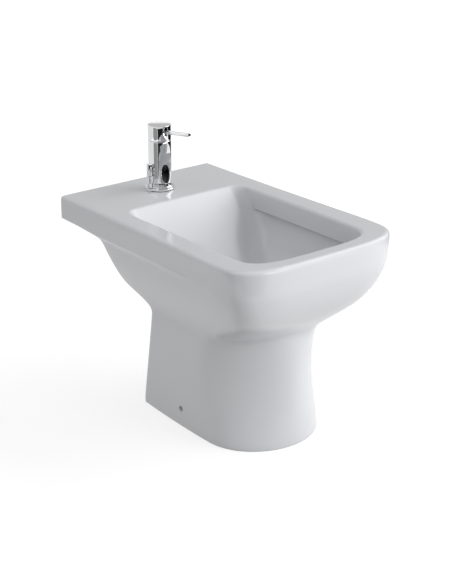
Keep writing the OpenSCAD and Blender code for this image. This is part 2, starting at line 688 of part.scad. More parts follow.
// ------------------------------------------------------------ pivot rod
pivot_r = pivot_d / 2;
pivot_ball_r = 7;
port_r = 9;
boss_r = 13;
boss_end = 34;
module at_pivot() translate([0, pivot_y, pivot_z]) rotate([-rest_tilt, 0, 0]) children();
module pivot_rod() {
    color("silver") at_pivot() {
        translate([0, -plug_arm - 3, 0]) rotate([-90, 0, 0])
            cylinder(r = pivot_r, h = plug_arm + 3 + pivot_arm + 14);
        sphere(r = pivot_ball_r);
    }
}
module lower_clamp() {
    color("silver") at_pivot() translate([0, pivot_arm, 0]) difference() {
        translate([-clamp_w / 2, -clamp_w / 2, -pivot_r - 2.5])
            cube([clamp_w, clamp_w, pivot_r + 2.5 + eye_up + eye_r + 2]);
        translate([0, -clamp_w, 0]) rotate([-90, 0, 0]) cylinder(r = pivot_r + 0.05, h = 2 * clamp_w);
        translate([-clamp_w, 0, eye_up]) rotate([0, 90, 0]) cylinder(r = eye_r, h = 2 * clamp_w);
        translate([0, 0, -clamp_w]) cylinder(r = screw_r + 0.05, h = clamp_w);
    }
}
module lower_clamp_screw() {
    color("silver") at_pivot() translate([0, pivot_arm, -pivot_r - 0.1]) rotate([180, 0, 0])
        thumb_screw(2.6);
}

// ------------------------------------------------------------ pop-up waste
// Heights here are above the bottom of the bowl, at the waste's axis.
module at_waste() translate([0, waste_y, sump_z]) children();
waste_r = waste_d / 2;
tube_r = waste_r - 0.3;
tube_in_r = tube_r - 4.2;
flange_r = 31.5;
flange_t = 2.4;
flange_seal_t = 0.8;
tube_low = -30;
under_seal_t = 3;
body_top = -sump_t - under_seal_t;
body_r = waste_r + 3;
body_low = -80;
body_neck_r = waste_r - 2;
tail_r = tail_d / 2;
tail_top_r = tail_r + 0.6;
tail_top = body_low - 8;
port_z = pivot_z - sump_z;
module waste_flange() {
    color(chrome_c) at_waste() rotate_extrude() polygon([[tube_in_r, tube_low],
        [tube_r, tube_low], [tube_r, flange_seal_t], [flange_r, flange_seal_t],
        [flange_r, flange_seal_t + 0.6], [flange_r - 1.5, flange_seal_t + flange_t - 0.4],
        [flange_r - 4, flange_seal_t + flange_t], [plug_d / 2 + 1.6, flange_seal_t + flange_t],
        [plug_d / 2 + 0.4, flange_seal_t + 1], [tube_in_r, flange_seal_t + 1]]);
}
module waste_flange_seal() {
    color(rubber_c) at_waste() ring(tube_r + 0.3, flange_r - 1.5, 0, flange_seal_t);
}
module waste_seal() {
    color(rubber_c) at_waste() ring(tube_r + 0.3, body_r + 6, body_top, -sump_t);
}
module waste_body() {
    color(brass_c) difference() {
        union() {
            at_waste() translate([0, 0, body_top - 4]) cylinder(r = body_r + 6, h = 4);
            at_waste() translate([0, 0, body_low + 14])
                cylinder(r = body_r, h = body_top - 4 - body_low - 14);
            at_waste() translate([0, 0, body_low]) cylinder(r = body_neck_r, h = 14);
            at_waste() translate([0, 0, port_z]) rotate([-90, 0, 0])
                cylinder(r = boss_r, h = boss_end);
        }
        at_waste() translate([0, 0, tube_low - 1]) cylinder(r = tube_r + 0.1, h = -tube_low + 1);
        at_waste() translate([0, 0, body_low - 1]) cylinder(r = tail_top_r + 0.1, h = -body_low);
        at_waste() translate([0, 0, port_z]) rotate([-90, 0, 0])
            cylinder(r = port_r, h = boss_end + 1);
    }
}
module pivot_seal() {
    color(rubber_c) translate([0, pivot_y, pivot_z]) rotate([-90, 0, 0]) difference() {
        ring(4.6, port_r - 0.05, -4, 4);
        sphere(r = pivot_ball_r + 0.07);
    }
}
module pivot_nut() {
    color(chrome_c) at_waste() translate([0, 0, port_z]) rotate([-90, 0, 0]) difference() {
        translate([0, 0, boss_end - 10]) cylinder(r = boss_r + 3, h = 14);
        translate([0, 0, boss_end - 11]) cylinder(r = boss_r + 0.1, h = 11);
        cylinder(r = 5, h = 2 * boss_end);
    }
}
module tail_nut() {
    color(chrome_c) at_waste() difference() {
        translate([0, 0, tail_top]) cylinder(r = body_neck_r + 3, h = 18);
        translate([0, 0, body_low]) cylinder(r = body_neck_r + 0.1, h = 20);
        translate([0, 0, body_low - 9]) cylinder(r = tail_top_r + 0.1, h = 30);
    }
}
module waste_tail() {
    color(chrome_c) at_waste() rotate_extrude() polygon([[tail_r - 1.5, tail_top - tail_l],
        [tail_r, tail_top - tail_l], [tail_r, tail_top], [tail_top_r, tail_top],
        [tail_top_r, body_low + 11], [tail_r - 1.5, body_low + 11]]);
}

// The plug is modelled up. It drops by plug_drop when the knob is pulled.
plug_drop = knob_travel * plug_arm / pivot_arm;
plug_low = flange_seal_t + 1 + free_gap + plug_drop;
stem_r = 3;
stem_end = port_z + plug_arm * sin(rest_tilt) + pivot_r / cos(rest_tilt) + free_gap;
plug_seal_t = 3;
module plug_cap() {
    r = plug_d / 2;
    color(chrome_c) at_waste() translate([0, 0, plug_low]) rotate_extrude()
        polygon([[0, 0], [r - 0.5, 0], [r, 0.6], [r, 1.6], [r - 1.2, 2.8], [r * 0.6, 3.8],
            [0, 4.3]]);
}
module plug_seal() {
    color(rubber_c) at_waste() ring(stem_r + 2, tube_in_r - 0.5, plug_low - plug_seal_t, plug_low);
}
module plug_stem() {
    fin_r = tube_in_r - 0.6;
    fin_top = plug_low - plug_seal_t - 0.2;
    fin_h = 18;
    color(plastic_c) at_waste() {
        translate([0, 0, stem_end + stem_r]) cylinder(r = stem_r, h = plug_low - stem_end - stem_r);
        translate([0, 0, stem_end + stem_r]) sphere(r = stem_r);
        for (a = [0, 90]) rotate([0, 0, a]) translate([-fin_r, -1, fin_top - fin_h])
            cube([2 * fin_r, 2, fin_h]);
    }
}

bidet_body();
tap_base_seal();
tap_base_ring();
tap_body();
tap_fixing_stud();
tap_fixing_seal();
tap_fixing_plate();
tap_fixing_nut();
cartridge_body();
cartridge_nut();
cartridge_collar();
spindle_pin();
cartridge_spindle();
handle_cap();
lever_hub();
lever_pin();
lever_screw();
spray_seat();
spray_ball();
spray_insert();
lift_rod_bush();
lift_knob();
lift_rod();
upper_clamp();
upper_clamp_screws();
link_rod();
pivot_rod();
lower_clamp();
lower_clamp_screw();
pivot_seal();
pivot_nut();
waste_flange();
waste_flange_seal();
waste_seal();
waste_body();
tail_nut();
waste_tail();
plug_cap();
plug_seal();
plug_stem();
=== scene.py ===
"""Looks for the floor standing bidet: ceramic body, single lever tap and pop-up waste."""

import math

import bmesh
import bpy
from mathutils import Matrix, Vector
from mathutils.bvhtree import BVHTree


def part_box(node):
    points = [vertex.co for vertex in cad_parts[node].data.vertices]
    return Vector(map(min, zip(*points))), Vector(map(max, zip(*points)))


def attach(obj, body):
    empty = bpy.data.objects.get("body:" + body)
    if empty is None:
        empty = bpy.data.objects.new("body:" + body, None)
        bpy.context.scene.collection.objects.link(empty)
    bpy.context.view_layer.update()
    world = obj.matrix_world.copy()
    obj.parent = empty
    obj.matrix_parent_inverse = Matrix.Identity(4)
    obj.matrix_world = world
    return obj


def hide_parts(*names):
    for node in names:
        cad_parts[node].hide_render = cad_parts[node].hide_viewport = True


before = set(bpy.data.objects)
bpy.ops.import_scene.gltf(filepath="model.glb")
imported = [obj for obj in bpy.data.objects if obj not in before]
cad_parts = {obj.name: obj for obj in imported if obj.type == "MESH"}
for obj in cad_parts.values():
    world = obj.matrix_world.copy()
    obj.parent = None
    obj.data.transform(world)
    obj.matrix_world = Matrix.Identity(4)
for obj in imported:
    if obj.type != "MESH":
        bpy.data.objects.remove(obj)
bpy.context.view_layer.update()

# ---------------------------------------------------------------- camera
# The photograph was taken from the front left, a little above the rim, with a long lens.
# Its place was found from the straight edges of the deck and foot.
CAMERA_PLACE = (-1.6534, -2.0729, 1.2881)
CAMERA_TURN = -38.61
CAMERA_DOWN = 21.51
CAMERA_LENS = 92.31

camera_data = bpy.data.cameras.new("photo_camera")
camera_data.sensor_width = 36
camera_data.lens = CAMERA_LENS
camera = bpy.data.objects.new("photo_camera", camera_data)
camera.location = CAMERA_PLACE
camera.rotation_euler = (math.radians(90 - CAMERA_DOWN), 0, math.radians(CAMERA_TURN))
bpy.context.scene.collection.objects.link(camera)
bpy.context.scene.camera = camera

# ---------------------------------------------------------------- floor and light
# A white studio floor runs on under everything, with a white room round it. Broad lights from
# the right and the front leave the left sides soft and grey, and a low softbox lights the
# front. Cards stand round the object where only polished metal shows them, as its stripes.
FLOOR_SIZE = 60
FLOOR_DROP = 0.0004
FLOOR_WHITE = 0.4
FLOOR_SEEN = 0.68
FLOOR_BOUNCED = 0.02
STAGE_ROUGHNESS = 0.9
ROOM_EDGE = 1.0
ROOM_TOP = 0.52
ROOM_RISE = 0.25
# Where each broad light comes from, its power and its spread in degrees.
BROAD_LIGHTS = (
    ("right_key", (0.77, -0.36, 0.53), 1.4, 50),
    ("front_fill", (0.34, -0.93, 0.06), 1.2, 20),
    ("left_fill", (-0.6, 0.1, 0.8), 0.45, 50),
)
FRONT_PLACE = (0.4, -1.0, 0.5)
FRONT_AIM = (0.02, -0.25, 0.38)
FRONT_SIZE = 0.6
FRONT_POWER = 2.4
CARD_RADIUS = 1.1
CARD_LOW = 0.01
# First and last turn about the tap in degrees, lowest and highest edge in metres, and shade.
CARDS = (
    ("black_card_front", -141, -89, CARD_LOW, 0.62, 0.012),
    ("black_card_high", -88, -42, 0.36, 0.8, 0.02),
    ("black_card_right", -40, 56, CARD_LOW, 0.52, 0.012),
    ("grey_card_left", -186, -143, CARD_LOW, 0.62, 0.28),
    ("pale_card_rear", -272, -190, CARD_LOW, 0.6, 0.78),
    ("pale_card_high", 80, 134, 0.75, 2.4, 1.0),
)
TAP_AXIS = (0, 0.205)

bpy.context.scene.view_settings.view_transform = "Standard"


def stage_paint(name, colour, glow):
    """A matt paint for the studio, with some light of its own."""
    paint = bpy.data.materials.new(name)
    paint.use_nodes = True
    shader = paint.node_tree.nodes["Principled BSDF"]
    shader.inputs["Base Color"].default_value = (colour, colour, colour, 1)
    shader.inputs["Roughness"].default_value = STAGE_ROUGHNESS
    shader.inputs["Specular IOR Level"].default_value = 0.0
    shader.inputs["Emission Color"].default_value = (1, 1, 1, 1)
    shader.inputs["Emission Strength"].default_value = glow
    return paint


bpy.ops.object.select_all(action="DESELECT")
bpy.ops.mesh.primitive_plane_add(size=FLOOR_SIZE, location=(0, 0, -FLOOR_DROP))
floor = bpy.context.object
floor.name = "studio_floor"
floor_paint = stage_paint("floor_paint", FLOOR_WHITE, FLOOR_BOUNCED)
floor_nodes, floor_links = floor_paint.node_tree.nodes, floor_paint.node_tree.links
floor_sight = floor_nodes.new("ShaderNodeLightPath")
floor_glow = floor_nodes.new("ShaderNodeMapRange")
floor_glow.inputs["To Min"].default_value = FLOOR_SEEN
floor_glow.inputs["To Max"].default_value = FLOOR_BOUNCED
floor_links.new(floor_sight.outputs["Is Diffuse Ray"], floor_glow.inputs["Value"])
floor_links.new(
    floor_glow.outputs["Result"], floor_nodes["Principled BSDF"].inputs["Emission Strength"]
)
floor.data.materials.append(floor_paint)

room = bpy.data.worlds.new("white_room")
bpy.context.scene.world = room
room.use_nodes = True
room_nodes, room_links = room.node_tree.nodes, room.node_tree.links
room_place = room_nodes.new("ShaderNodeTexCoord")
room_height = room_nodes.new("ShaderNodeSeparateXYZ")
room_shade = room_nodes.new("ShaderNodeMapRange")
room_shade.interpolation_type = "SMOOTHSTEP"
room_shade.inputs["From Max"].default_value = ROOM_RISE
room_shade.inputs["To Min"].default_value = ROOM_EDGE
room_shade.inputs["To Max"].default_value = ROOM_TOP
room_links.new(room_place.outputs["Generated"], room_height.inputs["Vector"])
room_links.new(room_height.outputs["Z"], room_shade.inputs["Value"])
room_links.new(room_shade.outputs["Result"], room_nodes["Background"].inputs["Strength"])
room_nodes["Background"].inputs["Color"].default_value = (1, 1, 1, 1)

for light_name, way, power, spread in BROAD_LIGHTS:
    light_data = bpy.data.lights.new(light_name, "SUN")
    light_data.energy = power
    light_data.angle = math.radians(spread)
    light = bpy.data.objects.new(light_name, light_data)
    light.rotation_euler = Vector(way).to_track_quat("Z", "Y").to_euler()
    bpy.context.scene.collection.objects.link(light)

front_data = bpy.data.lights.new("front_softbox", "AREA")
front_data.size = FRONT_SIZE
front_data.energy = FRONT_POWER
front = bpy.data.objects.new("front_softbox", front_data)
front.location = FRONT_PLACE
front_line = Vector(FRONT_PLACE) - Vector(FRONT_AIM)
front.rotation_euler = front_line.to_track_quat("Z", "Y").to_euler()
front.visible_camera = False
bpy.context.scene.collection.objects.link(front)

for card_name, first, last, card_low, card_high, shade in CARDS:
    middle = math.radians((first + last) / 2)
    width = 2 * CARD_RADIUS * math.tan(math.radians(last - first) / 2)
    bpy.ops.object.select_all(action="DESELECT")
    bpy.ops.mesh.primitive_plane_add(
        size=1,
        location=(
            TAP_AXIS[0] + CARD_RADIUS * math.cos(middle),
            TAP_AXIS[1] + CARD_RADIUS * math.sin(middle),
            (card_low + card_high) / 2,
        ),
        rotation=(math.radians(90), 0, middle + math.radians(90)),
    )
    card = bpy.context.object
    card.name = card_name
    card.scale = (width, card_high - card_low, 1)
    card.data.materials.append(stage_paint(card_name + "_paint", 0.0, shade))
    card.visible_camera = False
    card.visible_diffuse = False
    card.visible_shadow = False
    card.visible_transmission = False

# ---------------------------------------------------------------- ceramic body
# One slip-cast piece of vitreous china: rim, bowl and foot in a single skin, fired with a
# thick white glaze that rounds every edge. The glaze is wiped off the foot's underside, and
# the hidden inside of the casting gets none, so both stay rough and a little warmer.
GLAZE_WHITE = (0.61, 0.616, 0.636)
GLAZE_SHADE = (0.585, 0.591, 0.611)
GLAZE_ROUGHNESS = (0.13, 0.18)
GLAZE_IOR = 1.52
BARE_CHINA = (0.56, 0.545, 0.515)
BARE_CHINA_SHADE = (0.46, 0.445, 0.415)
BARE_ROUGHNESS = (0.62, 0.82)
NOISE_DETAIL = (("Patch", 3), ("Speck", 6))
NOISE_ROUGHNESS = 0.55
# The part of the specks' range that is spread over the whole range of a finish's roughness.
SPECK_RANGE = (0.3, 0.7)
WELD_DISTANCE = 0.000002
# How far faces may turn and skew, in degrees, and still be joined into one of four sides.
QUAD_TURN = 30
QUAD_SKEW = 70
ROUNDING_LEVELS = 2
SHARP_EDGE = 60
SMOOTH_BELOW = 50
# A flat area's faces look this straight along its way and lie this near its plane.
FLAT_STRAIGHT = 0.99995
FLAT_NEAR = 0.001
FLAT_RING = 0.0012
WAIST_LOW = 0.205
WAIST_HIGH = 0.262
WAIST_FRONT = -0.13
WAIST_SOFTENING = 0.5
MOUTH_MIDDLE = (0, -0.06, 0.392)
CASTING_REACH = 0.45
SIGHT_START = 0.001
FLOOR_NEAR = 0.001
NEARLY_STRAIGHT = 0.9
WALLED_WAYS = (Vector((1, 0, 0)), Vector((-1, 0, 0)), Vector((0, -1, 0)))


def merged_copy(node, name, body):
    """A new piece with the mesh of a CAD node, its loose triangles joined."""
    piece = bpy.data.objects.new(name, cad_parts[node].data.copy())
    bpy.context.scene.collection.objects.link(piece)
    piece.data.materials.clear()
    bpy.ops.object.select_all(action="DESELECT")
    piece.select_set(True)
    bpy.context.view_layer.objects.active = piece
    if piece.data.has_custom_normals:
        bpy.ops.mesh.customdata_custom_splitnormals_clear()
    bpy.ops.object.mode_set(mode="EDIT")
    bpy.ops.mesh.select_all(action="SELECT")
    bpy.ops.mesh.remove_doubles(threshold=WELD_DISTANCE)
    bpy.ops.object.mode_set(mode="OBJECT")
    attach(piece, body)
    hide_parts(node)
    return piece


def surface_variation():
    """Slow patches and fine specks over a surface, for colour, roughness and height."""
    group = bpy.data.node_groups.new("surface_variation", "ShaderNodeTree")
    for name, kind, way in (
        ("Patch Scale", "NodeSocketFloat", "INPUT"),
        ("Speck Scale", "NodeSocketFloat", "INPUT"),
        ("Patch", "NodeSocketFloat", "OUTPUT"),
        ("Speck", "NodeSocketFloat", "OUTPUT"),
    ):
        group.interface.new_socket(name=name, in_out=way, socket_type=kind)
    nodes, links = group.nodes, group.links
    inside = nodes.new("NodeGroupInput")
    outside = nodes.new("NodeGroupOutput")
    place = nodes.new("ShaderNodeTexCoord")
    for part, detail in NOISE_DETAIL:
        noise = nodes.new("ShaderNodeTexNoise")
        noise.inputs["Detail"].default_value = detail
        noise.inputs["Roughness"].default_value = NOISE_ROUGHNESS
        links.new(place.outputs["Object"], noise.inputs["Vector"])
        links.new(inside.outputs[part + " Scale"], noise.inputs["Scale"])
        links.new(noise.outputs["Fac"], outside.inputs[part])
    return group


VARIATION = surface_variation()


def varied_finish(name, light, dark, roughness, patch_scale, speck_scale, bump, metallic=0.0):
    """A finish whose colour, roughness and height vary over the surface."""
    finish = bpy.data.materials.new(name)
    finish.use_nodes = True
    nodes, links = finish.node_tree.nodes, finish.node_tree.links
    shader = nodes["Principled BSDF"]
    shader.inputs["Metallic"].default_value = metallic
    varied = nodes.new("ShaderNodeGroup")
    varied.node_tree = VARIATION
    varied.inputs["Patch Scale"].default_value = patch_scale
    varied.inputs["Speck Scale"].default_value = speck_scale
    colour = nodes.new("ShaderNodeMix")
    colour.data_type = "RGBA"
    colour.inputs["A"].default_value = (*light, 1)
    colour.inputs["B"].default_value = (*dark, 1)
    links.new(varied.outputs["Patch"], colour.inputs["Factor"])
    links.new(colour.outputs["Result"], shader.inputs["Base Color"])
    gloss = nodes.new("ShaderNodeMapRange")
    gloss.inputs["From Min"].default_value = SPECK_RANGE[0]
    gloss.inputs["From Max"].default_value = SPECK_RANGE[1]
    gloss.inputs["To Min"].default_value = roughness[0]
    gloss.inputs["To Max"].default_value = roughness[1]
    links.new(varied.outputs["Speck"], gloss.inputs["Value"])
    links.new(gloss.outputs["Result"], shader.inputs["Roughness"])
    height = nodes.new("ShaderNodeBump")
    height.inputs["Strength"].default_value = 1.0
    height.inputs["Distance"].default_value = bump
    links.new(varied.outputs["Speck"], height.inputs["Height"])
    links.new(height.outputs["Normal"], shader.inputs["Normal"])
    return finish


def ring_flat_faces(way, far):
    """Puts a narrow ring of faces just inside the flat area that looks way from far out."""
    shape = bmesh.from_edit_mesh(bpy.context.object.data)
    bpy.ops.mesh.select_all(action="DESELECT")
    for face in shape.faces:
        straight = face.normal.dot(way) > FLAT_STRAIGHT
        near = face.calc_center_median().dot(way) > far - FLAT_NEAR
        face.select_set(straight and near)
    bmesh.update_edit_mesh(bpy.context.object.data)
    bpy.ops.mesh.inset(thickness=FLAT_RING, depth=0, use_even_offset=True)


def soften_waist():
    """Lets the hollow line across the front of the waist run out softly, as thick glaze does."""
    shape = bmesh.from_edit_mesh(bpy.context.object.data)
    bpy.ops.mesh.select_all(action="DESELECT")
    for point in shape.verts:
        outside = all(face.normal.to_2d().dot(point.co.to_2d()) > 0 for face in point.link_faces)
        at_waist = WAIST_LOW < point.co.z < WAIST_HIGH and point.co.y < WAIST_FRONT
        point.select_set(outside and at_waist)
    shape.select_flush_mode()
    bmesh.update_edit_mesh(bpy.context.object.data)
    bpy.ops.mesh.vertices_smooth(factor=WAIST_SOFTENING, repeat=1)


def faces_without_glaze(piece):
    """Faces of the foot's underside and of the casting's hidden inside."""
    shape = bmesh.new()
    shape.from_mesh(piece.data)
    tree = BVHTree.FromBMesh(shape)
    bare = []
    for face in shape.faces:
        normal = face.normal
        start = face.calc_center_median() + normal * SIGHT_START
        if start.z < FLOOR_NEAR and normal.z < -NEARLY_STRAIGHT:
            bare.append(face.index)
            continue
        sight = Vector(MOUTH_MIDDLE) - start
        if tree.ray_cast(start, sight.normalized(), sight.length)[0] is None:
            continue
        walls = [tree.ray_cast(start, way, CASTING_REACH)[0] for way in WALLED_WAYS]
        if None not in walls:
            bare.append(face.index)
    shape.free()
    return bare


glaze = varied_finish(
    "white_glaze", GLAZE_WHITE, GLAZE_SHADE, GLAZE_ROUGHNESS,
    patch_scale=4, speck_scale=18, bump=0.00025,
)
glaze.node_tree.nodes["Principled BSDF"].inputs["IOR"].default_value = GLAZE_IOR
bare_china = varied_finish(
    "bare_china", BARE_CHINA, BARE_CHINA_SHADE, BARE_ROUGHNESS,
    patch_scale=14, speck_scale=420, bump=0.00012,
)

ceramic = merged_copy("bidet_body", "ceramic_body", "root")
ceramic.data.materials.append(glaze)
ceramic.data.materials.append(bare_china)
for number in faces_without_glaze(ceramic):
    ceramic.data.polygons[number].material_index = 1
bpy.ops.object.mode_set(mode="EDIT")
bpy.ops.mesh.select_all(action="SELECT")
bpy.ops.mesh.tris_convert_to_quads(
    face_threshold=math.radians(QUAD_TURN), shape_threshold=math.radians(QUAD_SKEW),
    materials=True,
)
bpy.ops.mesh.select_all(action="DESELECT")
bpy.ops.mesh.edges_select_sharp(sharpness=math.radians(SHARP_EDGE))
bpy.ops.transform.edge_crease(value=1)
ceramic_low, ceramic_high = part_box("bidet_body")
ring_flat_faces(Vector((0, 0, 1)), ceramic_high[2])
ring_flat_faces(Vector((0, 1, 0)), ceramic_high[1])
ring_flat_faces(Vector((0, 0, -1)), -ceramic_low[2])
soften_waist()
bpy.ops.object.mode_set(mode="OBJECT")
rounding = ceramic.modifiers.new("rounding", "SUBSURF")
rounding.levels = rounding.render_levels = ROUNDING_LEVELS
bpy.ops.object.modifier_apply(modifier="rounding")
bpy.ops.object.shade_smooth_by_angle(angle=math.radians(SMOOTH_BELOW))

# ---------------------------------------------------------------- waste flange and its seals
# The dished flange seen in the bowl is turned from brass, polished and chrome plated. It
# clamps the china between two moulded rubber rings, one under its lip and one below.
CHROME_LIGHT = (0.93, 0.935, 0.945)
CHROME_DARK = (0.87, 0.875, 0.885)
CHROME_ROUGHNESS = (0.03, 0.06)
PLATED_EDGE = 0.00025
RUBBER_LIGHT = (0.035, 0.035, 0.036)
RUBBER_DARK = (0.02, 0.02, 0.02)
RUBBER_ROUGHNESS = (0.55, 0.8)
MOULDED_EDGE = 0.0002
EASED_ABOVE = 35
EASING_SEGMENTS = 2

chrome = varied_finish(
    "polished_chrome", CHROME_LIGHT, CHROME_DARK, CHROME_ROUGHNESS,
    patch_scale=30, speck_scale=220, bump=0.000004, metallic=1.0,
)
rubber = varied_finish(
    "black_rubber", RUBBER_LIGHT, RUBBER_DARK, RUBBER_ROUGHNESS,
    patch_scale=40, speck_scale=900, bump=0.00002,
)


def eased_piece(node, name, body, finish, edge):
    """A copy of a turned, milled or moulded CAD node with its hard edges eased by edge."""
    piece = merged_copy(node, name, body)
    easing = piece.modifiers.new("easing", "BEVEL")
    easing.width = edge
    easing.segments = EASING_SEGMENTS
    easing.limit_method = "ANGLE"
    easing.angle_limit = math.radians(EASED_ABOVE)
    easing.use_clamp_overlap = True
    bpy.ops.object.modifier_apply(modifier="easing")
    bpy.ops.object.shade_smooth_by_angle(angle=math.radians(EASED_ABOVE))
    piece.data.materials.append(finish)
    return piece


eased_piece("waste_flange", "waste_flange_turned", "root", chrome, PLATED_EDGE)
eased_piece("waste_flange_seal", "waste_flange_ring", "root", rubber, MOULDED_EDGE)
eased_piece("waste_seal", "waste_lower_ring", "root", rubber, MOULDED_EDGE)

# ---------------------------------------------------------------- waste body, nut and tail
# Under the bowl the waste body is cast and turned brass left bare, darker where it has aged.
# A ribbed nut and the straight tail pipe below it are plated, and slide into the trap.
BRASS_LIGHT = (0.72, 0.52, 0.23)
BRASS_DARK = (0.5, 0.34, 0.14)
BRASS_ROUGHNESS = (0.22, 0.4)
CAST_EDGE = 0.0003
RIB_COUNT = 20
RIB_SIZE = (0.0022, 0.0032, 0.014)
RIB_EDGE = 0.0007
WASTE_AXIS = (0, -0.06)
TAIL_NUT_RADIUS = 0.022
TAIL_NUT_MIDDLE = 0.179

brass = varied_finish(
    "bare_brass", BRASS_LIGHT, BRASS_DARK, BRASS_ROUGHNESS,
    patch_scale=35, speck_scale=500, bump=0.00001, metallic=1.0,
)
eased_piece("waste_body", "waste_body_cast", "root", brass, CAST_EDGE)
eased_piece("tail_nut", "tail_nut_turned", "root", chrome, PLATED_EDGE)
eased_piece("waste_tail", "waste_tail_drawn", "root", chrome, PLATED_EDGE)


def joined(pieces, name):
    """Joins pieces into one with this name, and puts its place into its mesh."""
    bpy.ops.object.select_all(action="DESELECT")
    for piece in pieces:
        piece.select_set(True)
    bpy.context.view_layer.objects.active = pieces[0]
    bpy.ops.object.join()
    whole = bpy.context.view_layer.objects.active
    whole.name = name
    bpy.ops.object.transform_apply(location=True, rotation=True, scale=True)
    return whole


ribs = []
for number in range(RIB_COUNT):
    turn = math.tau * number / RIB_COUNT
    bpy.ops.object.select_all(action="DESELECT")
    bpy.ops.mesh.primitive_cube_add(
        size=1,
        location=(
            WASTE_AXIS[0] + TAIL_NUT_RADIUS * math.cos(turn),
            WASTE_AXIS[1] + TAIL_NUT_RADIUS * math.sin(turn),
            TAIL_NUT_MIDDLE,
        ),
        rotation=(0, 0, turn),
    )
    rib = bpy.context.object
    rib.scale = RIB_SIZE
    bpy.ops.object.transform_apply(location=False, rotation=False, scale=True)
    bpy.ops.object.mode_set(mode="EDIT")
    bpy.ops.mesh.select_all(action="SELECT")
    bpy.ops.mesh.bevel(offset=RIB_EDGE, segments=EASING_SEGMENTS, affect="EDGES")
    bpy.ops.object.mode_set(mode="OBJECT")
    ribs.append(rib)
nut_ribs = joined(ribs, "tail_nut_ribs")
bpy.ops.object.shade_smooth_by_angle(angle=math.radians(EASED_ABOVE))
nut_ribs.data.materials.append(chrome)
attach(nut_ribs, "root")

# ---------------------------------------------------------------- pivot of the waste
# The steel pivot rod passes through a rubber ball seal in the side of the waste body. A
# plated cap nut holds the seal, and the rod's inner end lifts the plug.
STEEL_LIGHT = (0.62, 0.63, 0.64)
STEEL_DARK = (0.5, 0.51, 0.52)
STEEL_ROUGHNESS = (0.2, 0.38)
CUT_EDGE = 0.0003

steel = varied_finish(
    "drawn_steel", STEEL_LIGHT, STEEL_DARK, STEEL_ROUGHNESS,
    patch_scale=40, speck_scale=700, bump=0.000008, metallic=1.0,
)
eased_piece("pivot_seal", "pivot_seal_moulded", "root", rubber, MOULDED_EDGE)
eased_piece("pivot_nut", "pivot_nut_turned", "root", chrome, PLATED_EDGE)
eased_piece("pivot_rod", "pivot_rod_bent", "pivot", steel, CUT_EDGE)

# ---------------------------------------------------------------- plug
# The plug that the lift rod raises is a plated dome on a pale moulded stem with guide fins.
# A soft rubber ring round its edge closes on the flange.
PALE_PLASTIC = (0.6, 0.61, 0.62)
PALE_PLASTIC_SHADE = (0.52, 0.53, 0.54)
PALE_PLASTIC_ROUGHNESS = (0.35, 0.5)

pale_plastic = varied_finish(
    "pale_plastic", PALE_PLASTIC, PALE_PLASTIC_SHADE, PALE_PLASTIC_ROUGHNESS,
    patch_scale=30, speck_scale=600, bump=0.00001,
)
eased_piece("plug_cap", "plug_dome", "plug", chrome, PLATED_EDGE)
eased_piece("plug_seal", "plug_ring", "plug", rubber, MOULDED_EDGE)
eased_piece("plug_stem", "plug_stem_moulded", "plug", pale_plastic, MOULDED_EDGE)

# ---------------------------------------------------------------- foot of the tap
# A plated ring with two steps carries the column and has an ear for the lift rod. The thin
# rubber gasket under it keeps water out of the deck's hole.
eased_piece("tap_base_seal", "tap_foot_gasket", "root", rubber, MOULDED_EDGE)
eased_piece("tap_base_ring", "tap_foot_ring", "root", chrome, PLATED_EDGE)

# ---------------------------------------------------------------- column of the tap
# Turned brass, polished and chrome plated, with a shallow scoop milled across its front and
# a slanting oval pocket for the outlet.
eased_piece("tap_body", "tap_column", "root", chrome, PLATED_EDGE)

# ---------------------------------------------------------------- swivelling outlet
# A black moulded seat lines the pocket and holds a ball that swivels. The ball's soft insert
# has a ring of small rubber nozzles, which can be rubbed clean of lime. Seat, ball and insert
# are painted near-black: partly real black plastic, partly painted shade for the deep pocket.
# Near-black colour: real black plastic, darkened further as painted shade for the shadow inside
# the outlet pocket.
PAINTED_SHADE_PLASTIC = (0.006, 0.006, 0.007)
PAINTED_SHADE_PLASTIC_PATCH = (0.004, 0.004, 0.004)
PAINTED_SHADE_PLASTIC_ROUGHNESS = (0.3, 0.42)
PAINTED_SHADE_PLASTIC_GLOSS = 0.15
BALL_MIDDLE = Vector((0, 0.194272, 0.444668))
JET_SLANT = 35
NOZZLE_FACE = 0.00715
NOZZLE_LENGTH = 0.0009
NOZZLE_SUNK = 0.0002
NOZZLE_SIDES = 12
NOZZLE_FOOT_RADIUS = 0.00042
NOZZLE_TIP_RADIUS = 0.00026
NOZZLE_HOLE_WALL = 0.00012
NOZZLE_HOLE_DEPTH = 0.0002
# Radius of each ring of nozzles, and how many stand on it.
NOZZLE_RINGS = ((0, 1), (0.0015, 6), (0.003, 11))

black_plastic_painted_shade = varied_finish(
    "black_plastic_painted_shade", PAINTED_SHADE_PLASTIC, PAINTED_SHADE_PLASTIC_PATCH, PAINTED_SHADE_PLASTIC_ROUGHNESS,
    patch_scale=30, speck_scale=500, bump=0.00001,
)
painted_shade_shader = black_plastic_painted_shade.node_tree.nodes["Principled BSDF"]
painted_shade_shader.inputs["Specular IOR Level"].default_value = PAINTED_SHADE_PLASTIC_GLOSS
eased_piece("spray_seat", "outlet_seat", "root", black_plastic_painted_shade, MOULDED_EDGE)
eased_piece("spray_ball", "outlet_ball", "spray", black_plastic_painted_shade, MOULDED_EDGE)
eased_piece("spray_insert", "outlet_insert", "spray", black_plastic_painted_shade, MOULDED_EDGE)

